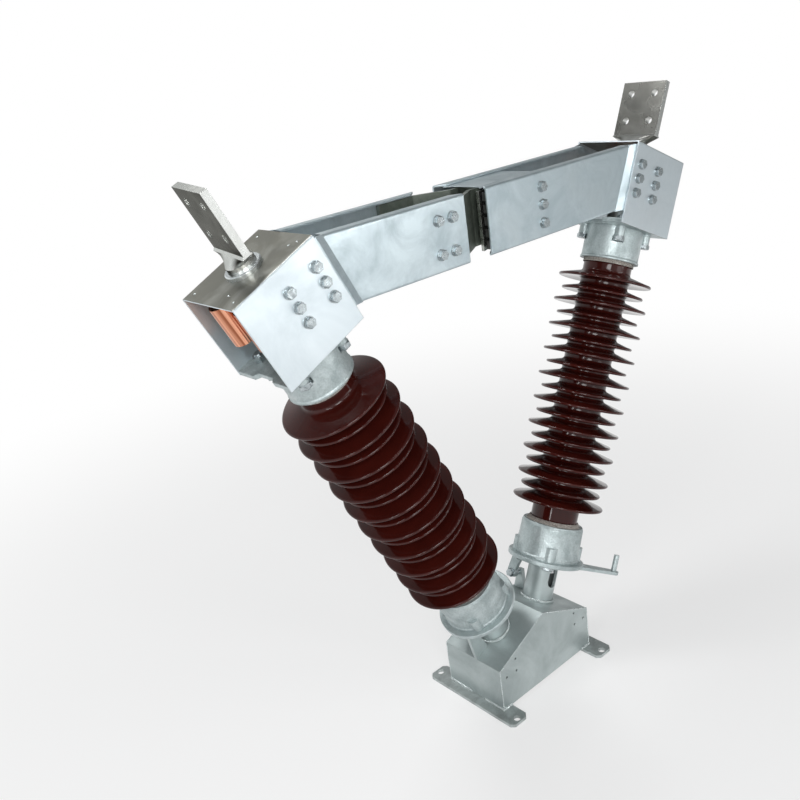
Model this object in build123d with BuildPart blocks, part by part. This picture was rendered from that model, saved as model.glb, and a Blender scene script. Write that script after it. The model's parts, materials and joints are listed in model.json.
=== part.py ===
from build123d import *
import os
from math import cos, radians, sin, tan

os.makedirs("parts", exist_ok=True)

# One pole of a V-type centre-break disconnector. Origin on the floor under the middle of the base,
# +X along the closed arms, +Z up. All lengths in millimetres, all angles in degrees.

# Base housing and feet
column_tilt = 25.0
base_length = 324.0
base_width = 182.0
base_wall = 5.0
ridge_height = 195.5
foot_thickness = 8.0
foot_width = 54.0
foot_length = 288.0
foot_corner = 9.0
foot_hole_radius = 9.0
foot_hole_margin = 12.0
overlap = 1.0
side_hole_radius = 3.0

# Column axes meet this far below the floor
vertex_depth = 14.4

# Bearing housing, bearings and shaft
housing_radius = 38.0
housing_height = 95.0
housing_lip = 3.0
housing_lip_height = 8.0
housing_top_wall = 6.0
housing_floor = 4.0
weld_size = 5.0
shaft_radius = 17.5
shaft_shoulder = 2.5
shaft_gap = 4.5
bearing_radius = 31.0
bearing_width = 14.0
race_thickness = 3.6
ball_radius = 3.3
ball_count = 10
seat_clearance = 0.1
running_clearance = 0.3
window_width = 30.0
window_height = 47.0
window_margin = 1.0
shaft_foot_length = 6.0
shaft_boss_radius = 30.0
shaft_boss_gap = 2.0

# Bevel gears
tooth_count = 24
gear_front = 84.0
gear_width = 28.0
gear_hub_height = 16.0
gear_hub_radius = 30.0
addendum_angle = 1.5
dedendum_angle = 2.4
tooth_fill = 0.42

# Turntable, levers and stops
disc_gap = 8.0
disc_radius = 96.0
disc_thickness = 11.0
disc_edge = 2.0
drive_turn = -38.0
drive_reach = 182.0
drive_waist = 110.0
drive_waist_half = 18.0
lever_start = 79.0
lever_start_half = 24.0
lever_thickness = 8.0
lever_end_radius = 13.0
drive_pin_radius = 7.0
drive_pin_length = 42.0
gusset_gap = 16.0
gusset_place = 12.0
gusset_thickness = 10.0
gusset_clearance = 5.0
gusset_foot = 6.0
gusset_shoulder = 22.0
gusset_crest = 30.0
gusset_corner = 8.0
stop_block_inset = 2.0
stop_block_height = 50.0
stop_block_thickness = 12.0
stop_block_foot = 34.0
stop_block_crest = 12.0
stop_block_place = 18.0
stop_lever_thickness = 10.0
stop_lever_place = -12.0
stop_lever_drop = 30.0
stop_lever_inside = 44.0
stop_lever_outside = 8.0
stop_lever_knee = 8.0
stop_lever_root = 10.0
stop_eye_inside = 10.0
stop_eye_outside = 14.0
stop_screw_inset = 5.0
stop_screw_rise = 9.0
stop_nut = 7.0
flange_bolt_circle = 63.5
flange_bolt_radius = 8.0
flange_bolt_head = 10.0
flange_bolt_flats = 24.0
flange_nut = 13.0
flange_washer = 3.0
flange_washer_margin = 3.0
lug_washer = 2.0
tapped_depth = 20.0
tapped_margin = 2.0
hole_gap = 1.0
bolt_end = 4.0

# Porcelain and its metal fittings
bottom_flange_radius = 80.0
bottom_flange_height = 88.0
bottom_flange_wall = 12.0
flange_floor = 24.0
flange_rim = 2.0
bottom_rim_height = 6.0
top_rim_height = 4.0
rim_slope = 3.0
flange_draft = 2.0
flange_lip = 5.0
flange_lip_height = 7.0
flange_boss_radius = 15.0
flange_boss_height = 36.0
flange_boss_inset = 8.0
porcelain_end_radius = 54.0
core_radius = 59.0
cement_band = 9.0
cement_skirt = 3.0
bottom_neck = 46.3
big_shed_radius = 114.0
small_shed_radius = 100.5
shed_pitch = 62.72
big_shed_count = 10
shed_tip_radius = 3.5
shed_top_slope = 15.0
shed_under_slope = 4.0
shed_root_fillet = 7.0
top_neck = 40.2
top_flange_radius = 69.5
top_flange_height = 80.0
top_flange_wall = 8.0
top_flange_floor = 40.0
lug_circle = 76.0
lug_radius = 11.5
lug_height = 24.0
pocket_floor = 3.0
pocket_margin = 4.5

# Top boxes
cover_width = 175.4
cover_sheet = 3.0
cover_outer = 95.7
cover_inner = 102.0
cover_height = 189.5
cover_bend = 4.0
box_floor = 10.0
box_floor_inset = 1.0
mouth_notch_width = 60.0
mouth_notch_depth = 28.0
notch_width = 46.0
notch_depth = 10.0
box_bolt_rows = (74.8, 108.3, 141.8)
box_bolt_columns = (-74.4, -5.4)
m12_radius = 6.0
m12_flats = 19.0
m12_head = 8.0
m12_washer_radius = 12.0
m12_washer = 2.0
m12_nut = 10.0
m12_hole_gap = 0.5

# Terminals
stem_radius = 28.0
journal_radius = 19.0
journal_length = 14.0
boss_radius = 34.0
collar_radius = 36.5
collar_height = 9.0
collar_spigot = 33.0
collar_spigot_depth = 14.0
collar_bevel = 2.0
flare_start = 19.0
ledge_height = 4.5
ledge_thickness = 23.0
palm_width = 119.5
palm_thickness = 14.5
palm_start = 42.3
palm_length = 128.0
palm_hole_spacing = 66.0
palm_hole_radius = 8.75
palm_hole_offset = 33.6
left_palm_turn = -7.0
ribbon_thickness = 6.0
ribbon_width = 84.0
ribbon_place = 84.0
ribbon_start = 12.0
ribbon_fold_reach = 68.0
ribbon_first_fold = 17.0
clamp_wall = 11.0

# Arms
arm_width = 158.0
arm_low = 1089.0
arm_height = 139.4
arm_sheet = 4.0
arm_leg = 24.0
arm_bend = 3.5
arm_stock = 520.0
mitre_margin = 3.0
left_arm_end = -97.7
right_arm_end = -34.5
joggle_start = -123.0
joggle_end = -106.0
tongue_end = 42.0
tongue_low = 50.0
tongue_margin = 26.0

# Contacts
male_half_width = 35.0
male_plate = 8.0
male_rise = 15.0
male_headroom = 1.5
male_lead = 4.0
male_neck_start = -34.0
male_neck_half = 27.5
male_nose_turn = 120.0
male_root = -196.0
male_bolt_columns = (-173.3, -135.3)
male_bolt_rows = (35.9, 102.4)
finger_count = 5
finger_gap = 1.6
finger_rise = 7.0
finger_headroom = 4.5
finger_thickness = 12.0
finger_tip = -33.0
finger_flare = 12.9
finger_tip_thickness = 7.5
finger_slope = 14.0
finger_bump = 6.0
finger_bump_height = 2.0
finger_relief = 3.0
finger_relief_start = 24.0
holder_margin = 1.0
holder_front = 108.0
holder_back = 152.0
holder_wall = 8.0
holder_bolt_x = 130.0
holder_bolt_rows = (31.2, 70.3, 107.8)
holder_bolt_margin = 4.7
guard_gap = 0.4
guard_sheet = 1.5
guard_margin = 1.0
guard_front = 8.0
guard_notch = 20.0
guard_prong = 16.0
spring_strip = 1.2
spring_margin = 3.0
spring_lift = 12.0
spring_straight = 70.0
spring_bow = 38.0
spring_bow_lift = 9.0
spring_touch = 8.0
spring_touch_lift = 1.0
spring_tab = -26.0
spring_tab_lift = 8.0
spring_tab_gap = 2.0

tilt = radians(column_tilt)
half_base = base_length / 2
end_height = ridge_height - half_base * tan(tilt)
face_level = (ridge_height + vertex_depth) * cos(tilt)
floor_opening = shaft_radius + shaft_gap
housing_top = face_level + housing_height
disc_level = housing_top + disc_gap
flange_level = disc_level + disc_thickness
neck_level = flange_level + bottom_flange_height
last_shed = neck_level + cement_band + bottom_neck
first_shed = last_shed + shed_pitch * (big_shed_count - 1)
top_flange_level = first_shed + top_neck + cement_band
box_level = top_flange_level + top_flange_height
cover_top = box_level + cover_height


def column_plane(side):
    """Plane at the vertex, Z up the column axis, X away from the arms."""
    return Plane(
        origin=(0, 0, -vertex_depth),
        x_dir=(side * cos(tilt), 0, -sin(tilt)),
        z_dir=(side * sin(tilt), 0, cos(tilt)),
    )


def radial_plane(column):
    """Sketch plane through the column axis: X is radius, Y is height."""
    return Plane(origin=column.origin, x_dir=column.x_dir, z_dir=column.y_dir * -1)


def cross_plane(column, distance):
    """Sketch plane across the arm at a distance from the axis: X is the column's Y, Y is height."""
    return Plane(
        origin=column.origin + column.x_dir * distance,
        x_dir=column.y_dir,
        z_dir=column.x_dir,
    )


def wall_plane(frame, distance, outward):
    """Plane of a side wall: Z points out along the frame's Y or against it, Y is height."""
    return Plane(
        origin=frame.origin + frame.y_dir * (distance * outward),
        x_dir=frame.x_dir * -outward,
        z_dir=frame.y_dir * outward,
    )


def turned(plane, angle):
    """The same plane with its X turned about its own Z."""
    turn = radians(angle)
    return Plane(
        origin=plane.origin,
        x_dir=plane.x_dir * cos(turn) + plane.y_dir * sin(turn),
        z_dir=plane.z_dir,
    )


def revolved(column, points):
    """Solid of revolution about the column axis from radius and height pairs."""
    with BuildPart() as piece:
        with BuildSketch(radial_plane(column)):
            with BuildLine():
                Polyline(*points, close=True)
            make_face()
        revolve(axis=Axis(column.origin, column.z_dir))
    return piece.part


def save(part, name):
    part.label = name
    export_step(part, "parts/" + name + ".step")


def bolt_set(plane, points, flats, head, radius, length, washer_radius, washer, nut_drop=0, nut=0):
    """Hexagon bolts at points of a plane: washer and head out along its Z, shank and nut below it."""
    crown = head * 0.15
    with BuildPart() as bolts:
        with BuildSketch(plane):
            with Locations(*points):
                Circle(washer_radius)
        extrude(amount=washer)
        with BuildSketch(plane.offset(washer)):
            with Locations(*points):
                RegularPolygon(flats / 2, 6, major_radius=False)
        extrude(amount=head - crown)
        with BuildSketch(plane.offset(washer + head - crown)):
            with Locations(*points):
                RegularPolygon(flats / 2, 6, major_radius=False)
        extrude(amount=crown, taper=35)
        with BuildSketch(plane):
            with Locations(*points):
                Circle(radius)
        extrude(amount=-length)
        if nut:
            with BuildSketch(plane.offset(-nut_drop)):
                with Locations(*points):
                    RegularPolygon(flats / 2, 6, major_radius=False)
            extrude(amount=-nut)
    return bolts.part


def square_points(radius):
    """Four points at 45 degrees to the axes on a circle."""
    reach = radius * sin(radians(45))
    return [(reach, reach), (-reach, reach), (-reach, -reach), (reach, -reach)]


# Base housing: folded and welded sheet, gable-shaped sides, open underneath
gable = [
    (-half_base, foot_thickness),
    (-half_base, end_height),
    (0, ridge_height),
    (half_base, end_height),
    (half_base, foot_thickness),
]
inner_half = half_base - base_wall
inner_ridge = ridge_height - base_wall / cos(tilt)
inner_gable = [
    (-inner_half, foot_thickness - overlap),
    (-inner_half, inner_ridge - inner_half * tan(tilt)),
    (0, inner_ridge),
    (inner_half, inner_ridge - inner_half * tan(tilt)),
    (inner_half, foot_thickness - overlap),
]
side_hole_points = [(-107, 126), (-107, 92), (-141, 92), (113, 131), (113, 98), (147, 98)]
with BuildPart() as base_housing:
    with BuildSketch(Plane.XZ.offset(-base_width / 2)):
        with BuildLine():
            Polyline(*gable, close=True)
        make_face()
    extrude(amount=base_width)
    with BuildSketch(Plane.XZ.offset(-base_width / 2 + base_wall)):
        with BuildLine():
            Polyline(*inner_gable, close=True)
        make_face()
    extrude(amount=base_width - 2 * base_wall, mode=Mode.SUBTRACT)
    for side in (-1, 1):
        with BuildSketch(column_plane(side).offset(face_level - 2 * base_wall)):
            Circle(floor_opening)
        extrude(amount=3 * base_wall, mode=Mode.SUBTRACT)
    with BuildSketch(Plane.XZ.offset(base_width / 2 - 2 * base_wall)):
        with Locations(*side_hole_points):
            Circle(side_hole_radius)
    extrude(amount=3 * base_wall, mode=Mode.SUBTRACT)
save(base_housing.part, "base_housing")

for side, name in ((-1, "left"), (1, "right")):
    with BuildPart() as foot_bar:
        with BuildSketch():
            with Locations((side * half_base, 0)):
                Rectangle(foot_width, foot_length)
        extrude(amount=foot_thickness)
        chamfer(foot_bar.edges().filter_by(Axis.Z), foot_corner)
        half_spacing = foot_length / 2 - foot_hole_margin
        with Locations((side * half_base, -half_spacing), (side * half_base, half_spacing)):
            Hole(foot_hole_radius)
    save(foot_bar.part, name + "_foot_bar")

# Bearing housings, races and balls
ball_circle = (bearing_radius + shaft_radius) / 2
lower_race = face_level + housing_floor
upper_race = housing_top - housing_top_wall - bearing_width
bore = bearing_radius + seat_clearance
lip_radius = housing_radius + housing_lip
housing_outline = [
    (floor_opening, face_level),
    (housing_radius + weld_size, face_level),
    (housing_radius, face_level + weld_size),
    (housing_radius, housing_top - housing_lip_height),
    (lip_radius, housing_top - housing_lip_height),
    (lip_radius, housing_top),
    (floor_opening, housing_top),
    (floor_opening, housing_top - housing_top_wall),
    (bore, housing_top - housing_top_wall),
    (bore, lower_race),
    (floor_opening, lower_race),
]
for side, name in ((-1, "left"), (1, "right")):
    column = column_plane(side)
    with BuildPart() as bearing_housing:
        with BuildSketch(radial_plane(column)):
            with BuildLine():
                Polyline(*housing_outline, close=True)
            make_face()
        revolve(axis=Axis(column.origin, column.z_dir))
        if side > 0:
            with BuildSketch(wall_plane(column, housing_radius, -1)):
                with Locations((0, housing_top - housing_lip_height - window_height / 2 - window_margin)):
                    SlotOverall(window_height, window_width, rotation=90)
            extrude(amount=housing_radius / 3, both=True, mode=Mode.SUBTRACT)
    save(bearing_housing.part, name + "_bearing_housing")

    outer_low = bearing_radius - race_thickness
    inner_high = shaft_radius + seat_clearance + race_thickness
    for race_name, low_radius, high_radius in (
        ("_outer_races", outer_low, bearing_radius),
        ("_inner_races", shaft_radius + seat_clearance, inner_high),
    ):
        with BuildPart() as races:
            for level in (lower_race, upper_race):
                with BuildSketch(radial_plane(column)):
                    with Locations(((low_radius + high_radius) / 2, level + bearing_width / 2)):
                        Rectangle(high_radius - low_radius, bearing_width)
                    with Locations((ball_circle, level + bearing_width / 2)):
                        Circle(ball_radius + running_clearance, mode=Mode.SUBTRACT)
                revolve(axis=Axis(column.origin, column.z_dir))
        save(races.part, name + race_name)

    with BuildPart() as balls:
        for level in (lower_race, upper_race):
            with Locations(column.offset(level + bearing_width / 2)):
                with PolarLocations(ball_circle, ball_count):
                    Sphere(ball_radius)
    save(balls.part, name + "_bearing_balls")

# Shafts: journals, shoulder between the bearings and a boss under the turntable
shaft_foot = gear_front - shaft_foot_length
for side, name in ((-1, "left"), (1, "right")):
    column = column_plane(side)
    shaft = revolved(column, [
        (0, shaft_foot),
        (shaft_radius, shaft_foot),
        (shaft_radius, lower_race + bearing_width),
        (shaft_radius + shaft_shoulder, lower_race + bearing_width),
        (shaft_radius + shaft_shoulder, upper_race),
        (shaft_radius, upper_race),
        (shaft_radius, housing_top + shaft_boss_gap),
        (shaft_boss_radius, housing_top + shaft_boss_gap),
        (shaft_boss_radius, disc_level),
        (0, disc_level),
    ])
    save(shaft, name + "_shaft")

# Bevel gears: straight teeth that taper to the point where the two axes meet
gear_back = gear_front + gear_width
pitch_angle = 360.0 / tooth_count


def tooth_section(level):
    """Half widths of a tooth at a level: root, pitch and tip radius with half widths."""
    pitch_radius = level * tan(tilt)
    tip = level * tan(radians(column_tilt + addendum_angle))
    root = level * tan(radians(column_tilt - dedendum_angle))
    half_pitch = pitch_radius * radians(pitch_angle) * tooth_fill / 2
    flank = tan(radians(20))
    return [
        (root - overlap, -half_pitch - (pitch_radius - root + overlap) * flank),
        (tip, -half_pitch + (tip - pitch_radius) * flank),
        (tip, half_pitch - (tip - pitch_radius) * flank),
        (root - overlap, half_pitch + (pitch_radius - root + overlap) * flank),
    ]


for side, name in ((-1, "left"), (1, "right")):
    column = column_plane(side)
    phase = 0 if side < 0 else pitch_angle / 2
    root_front = gear_front * tan(radians(column_tilt - dedendum_angle))
    root_back = gear_back * tan(radians(column_tilt - dedendum_angle))
    with BuildPart() as bevel_gear:
        with BuildSketch(radial_plane(column)):
            with BuildLine():
                Polyline(
                    (shaft_radius + seat_clearance, gear_front),
                    (root_front, gear_front),
                    (root_back, gear_back),
                    (gear_hub_radius, gear_back),
                    (gear_hub_radius, gear_back + gear_hub_height),
                    (shaft_radius + seat_clearance, gear_back + gear_hub_height),
                    close=True,
                )
            make_face()
        revolve(axis=Axis(column.origin, column.z_dir))
        for index in range(tooth_count):
            turn = phase + index * pitch_angle
            for level in (gear_front, gear_back):
                with BuildSketch(turned(column.offset(level), turn)):
                    with BuildLine():
                        Polyline(*tooth_section(level), close=True)
                    make_face()
            loft(ruled=True)
    save(bevel_gear.part, name + "_bevel_gear")

# Turntables
for side, name in ((-1, "left"), (1, "right")):
    column = column_plane(side)
    with BuildPart() as turntable:
        with BuildSketch(column.offset(disc_level)):
            Circle(disc_radius)
            with PolarLocations(flange_bolt_circle, 4, start_angle=45):
                Circle(flange_bolt_radius + hole_gap, mode=Mode.SUBTRACT)
        extrude(amount=disc_thickness)
        fillet(turntable.edges().filter_by(GeomType.CIRCLE).sort_by(SortBy.RADIUS)[-2:], disc_edge)
    save(turntable.part, name + "_turntable")

# Stops: a gusset on the left face, a block and a hanging lever on the right
stop_top = disc_level - gusset_gap
gusset_inside = housing_radius + weld_size + gusset_clearance
left_column = column_plane(-1)
with BuildPart() as left_stop_block:
    with BuildSketch(wall_plane(left_column, -gusset_place, -1)):
        with BuildLine():
            Polyline(
                (gusset_inside, face_level),
                (disc_radius - gusset_foot, face_level),
                (disc_radius - gusset_shoulder, stop_top - gusset_corner),
                (disc_radius - gusset_crest, stop_top),
                (gusset_inside, stop_top),
                close=True,
            )
        make_face()
    extrude(amount=gusset_thickness / 2, both=True)
save(left_stop_block.part, "left_stop_block")

right_column = column_plane(1)
stop_reach = base_width / 2 - stop_block_inset
with BuildPart() as right_stop_block:
    with BuildSketch(cross_plane(right_column, stop_block_place)):
        with BuildLine():
            Polyline(
                (stop_reach - stop_block_foot, face_level),
                (stop_reach, face_level),
                (stop_reach, face_level + stop_block_height),
                (stop_reach - stop_block_crest, face_level + stop_block_height),
                close=True,
            )
        make_face()
    extrude(amount=stop_block_thickness / 2, both=True)
save(right_stop_block.part, "right_stop_block")

lever_low = face_level + stop_lever_drop
screw_side = stop_reach - stop_screw_inset
screw_level = lever_low + stop_screw_rise
with BuildPart() as stop_lever:
    with BuildSketch(cross_plane(right_column, stop_lever_place)):
        with BuildLine():
            Polyline(
                (disc_radius - stop_lever_inside, disc_level),
                (disc_radius - stop_lever_outside, disc_level),
                (screw_side + stop_eye_outside, lever_low + 2 * stop_screw_rise),
                (screw_side + stop_eye_outside, lever_low),
                (screw_side - stop_eye_inside, lever_low),
                (screw_side - stop_eye_inside, lever_low + 2 * stop_screw_rise),
                (disc_radius - stop_lever_inside + stop_lever_knee, disc_level - stop_lever_root),
                (disc_radius - stop_lever_inside, disc_level - stop_lever_root),
                close=True,
            )
        make_face()
        with Locations((screw_side, screw_level)):
            Circle(m12_radius + seat_clearance, mode=Mode.SUBTRACT)
    extrude(amount=stop_lever_thickness / 2, both=True)
save(stop_lever.part, "right_stop_lever")

lever_face = stop_lever_place - stop_lever_thickness / 2
block_face = stop_block_place - stop_block_thickness / 2
screw_plane = Plane(
    origin=right_column.origin + right_column.x_dir * lever_face,
    x_dir=right_column.y_dir * -1,
    z_dir=right_column.x_dir * -1,
)
stop_screw = bolt_set(
    screw_plane,
    [(-screw_side, screw_level)],
    m12_flats,
    m12_head,
    m12_radius,
    block_face - lever_face - running_clearance,
    m12_washer_radius,
    m12_washer,
    stop_lever_thickness + hole_gap,
    stop_nut,
)
save(stop_screw, "right_stop_screw")

with BuildPart() as drive_lever:
    lever_plane = turned(right_column.offset(disc_level - lever_thickness), drive_turn)
    with BuildSketch(lever_plane):
        with BuildLine():
            Polyline(
                (lever_start, -lever_start_half),
                (drive_waist, -drive_waist_half),
                (drive_reach, -lever_end_radius),
                (drive_reach, lever_end_radius),
                (drive_waist, drive_waist_half),
                (lever_start, lever_start_half),
                close=True,
            )
        make_face()
        with Locations((drive_reach, 0)):
            Circle(lever_end_radius)
    extrude(amount=lever_thickness)
    with BuildSketch(lever_plane.offset(lever_thickness)):
        with Locations((drive_reach, 0)):
            Circle(drive_pin_radius)
    extrude(amount=drive_pin_length)
save(drive_lever.part, "right_drive_lever")

# Metal fittings, bolts, cement and porcelain, the same on both columns
flange_top = flange_level + bottom_flange_height
bottom_cup = bottom_flange_radius - bottom_flange_wall
top_cup = top_flange_radius - top_flange_wall
core_bottom = flange_level + flange_floor
core_top = box_level - top_flange_floor
lug_points = square_points(lug_circle)


def shed_lines(radius, level):
    """One shed from its underside root, round the tip, to its top root; gives both root levels."""
    tip = radius - shed_tip_radius
    under = level - shed_tip_radius + (tip - core_radius) * tan(radians(shed_under_slope))
    top = level + shed_tip_radius + (tip - core_radius) * tan(radians(shed_top_slope))
    Line((core_radius, under), (tip, level - shed_tip_radius))
    ThreePointArc((tip, level - shed_tip_radius), (radius, level), (tip, level + shed_tip_radius))
    Line((tip, level + shed_tip_radius), (core_radius, top))
    return under, top


def is_shed_root(corner):
    """True for the corners where the sheds meet the core."""
    low = flange_top + cement_band + 1
    high = top_flange_level - cement_band - 1
    return abs(corner.X - core_radius) < 0.01 and low < corner.Y < high


for side, name in ((-1, "left"), (1, "right")):
    column = column_plane(side)
    with BuildPart() as bottom_flange:
        with BuildSketch(radial_plane(column)):
            with BuildLine():
                Polyline(
                    (0, flange_level),
                    (bottom_flange_radius + flange_rim, flange_level),
                    (bottom_flange_radius + flange_rim, flange_level + bottom_rim_height),
                    (bottom_flange_radius, flange_level + bottom_rim_height + rim_slope),
                    (bottom_flange_radius - flange_draft, flange_top - flange_lip_height),
                    (bottom_flange_radius - flange_lip, flange_top),
                    (bottom_cup, flange_top),
                    (bottom_cup, core_bottom),
                    (0, core_bottom),
                    close=True,
                )
            make_face()
        revolve(axis=Axis(column.origin, column.z_dir))
        with BuildSketch(column.offset(flange_level)):
            with Locations(*square_points(bottom_flange_radius - flange_boss_inset)):
                Circle(flange_boss_radius)
            Circle(bottom_cup + hole_gap, mode=Mode.SUBTRACT)
        extrude(amount=flange_boss_height)
        with BuildSketch(column.offset(flange_level)):
            with Locations(*square_points(flange_bolt_circle)):
                Circle(flange_bolt_radius + seat_clearance)
        extrude(amount=tapped_depth, mode=Mode.SUBTRACT)
    save(bottom_flange.part, name + "_bottom_flange")

    under_disc = Plane(
        origin=column.offset(disc_level).origin,
        x_dir=column.x_dir,
        z_dir=column.z_dir * -1,
    )
    bottom_bolts = bolt_set(
        under_disc,
        square_points(flange_bolt_circle),
        flange_bolt_flats,
        flange_bolt_head,
        flange_bolt_radius,
        disc_thickness + tapped_depth - tapped_margin,
        flange_bolt_flats / 2 + flange_washer_margin,
        flange_washer,
    )
    save(bottom_bolts, name + "_bottom_flange_bolts")

    with BuildPart() as porcelain:
        with BuildSketch(radial_plane(column)) as outline:
            with BuildLine():
                Polyline(
                    (core_radius, flange_top + cement_band),
                    (porcelain_end_radius, flange_top + cement_band),
                    (porcelain_end_radius, core_bottom),
                    (0, core_bottom),
                    (0, core_top),
                    (porcelain_end_radius, core_top),
                    (porcelain_end_radius, top_flange_level - cement_band),
                    (core_radius, top_flange_level - cement_band),
                )
                climb = flange_top + cement_band
                for index in range(2 * big_shed_count - 1):
                    level = last_shed + index * shed_pitch / 2
                    radius = big_shed_radius if index % 2 == 0 else small_shed_radius
                    under_root, top_root = shed_lines(radius, level)
                    Line((core_radius, climb), (core_radius, under_root))
                    climb = top_root
                Line((core_radius, climb), (core_radius, top_flange_level - cement_band))
            make_face()
            roots = outline.vertices().filter_by(is_shed_root)
            fillet(roots, shed_root_fillet)
        revolve(axis=Axis(column.origin, column.z_dir))
    save(porcelain.part, name + "_porcelain")

    with BuildPart() as cement:
        with BuildSketch(radial_plane(column)):
            with BuildLine():
                Polyline(
                    (porcelain_end_radius + seat_clearance, core_bottom),
                    (bottom_cup - seat_clearance, core_bottom),
                    (bottom_cup - seat_clearance, flange_top),
                    (core_radius + cement_skirt, flange_top + cement_band),
                    (porcelain_end_radius + seat_clearance, flange_top + cement_band),
                    close=True,
                )
            make_face()
            with BuildLine():
                Polyline(
                    (porcelain_end_radius + seat_clearance, core_top),
                    (top_cup - seat_clearance, core_top),
                    (top_cup - seat_clearance, top_flange_level),
                    (core_radius + cement_skirt, top_flange_level - cement_band),
                    (porcelain_end_radius + seat_clearance, top_flange_level - cement_band),
                    close=True,
                )
            make_face()
        revolve(axis=Axis(column.origin, column.z_dir))
    save(cement.part, name + "_cement_rings")

    with BuildPart() as top_flange:
        with BuildSketch(radial_plane(column)):
            with BuildLine():
                Polyline(
                    (top_cup, top_flange_level),
                    (top_flange_radius + flange_rim, top_flange_level),
                    (top_flange_radius + flange_rim, top_flange_level + top_rim_height),
                    (top_flange_radius, top_flange_level + top_rim_height + rim_slope),
                    (top_flange_radius, box_level),
                    (0, box_level),
                    (0, core_top),
                    (top_cup, core_top),
                    close=True,
                )
            make_face()
        revolve(axis=Axis(column.origin, column.z_dir))
        with BuildSketch(column.offset(core_top + pocket_floor)):
            with Locations(*lug_points):
                Circle(lug_radius + pocket_margin)
        extrude(amount=top_flange_floor - lug_height - pocket_floor, mode=Mode.SUBTRACT)
        with BuildSketch(column.offset(box_level)):
            with Locations(*lug_points):
                Circle(lug_radius)
        extrude(amount=-lug_height)
        with BuildSketch(column.offset(box_level)):
            with Locations(*lug_points):
                Circle(flange_bolt_radius + seat_clearance)
        extrude(amount=-lug_height, mode=Mode.SUBTRACT)
    save(top_flange.part, name + "_top_flange")

    under_lug = Plane(
        origin=column.offset(box_level - lug_height).origin,
        x_dir=column.x_dir,
        z_dir=column.z_dir * -1,
    )
    top_bolts = bolt_set(
        under_lug,
        lug_points,
        flange_bolt_flats,
        flange_bolt_head,
        flange_bolt_radius,
        lug_height + box_floor + flange_nut + bolt_end,
        flange_bolt_flats / 2,
        lug_washer,
        lug_height + box_floor,
        flange_nut,
    )
    save(top_bolts, name + "_top_flange_bolts")

# Top boxes: floor plate with the pivot boss, bent cover, collar and swivelling terminal
inside_half = cover_width / 2 - cover_sheet
floor_top = box_level + box_floor
boss_top = floor_top + journal_length
box_bolt_points = [(across, box_level + row) for across in box_bolt_columns for row in box_bolt_rows]
arm_outside = inside_half - seat_clearance
bolt_hole = m12_radius + m12_hole_gap

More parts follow.
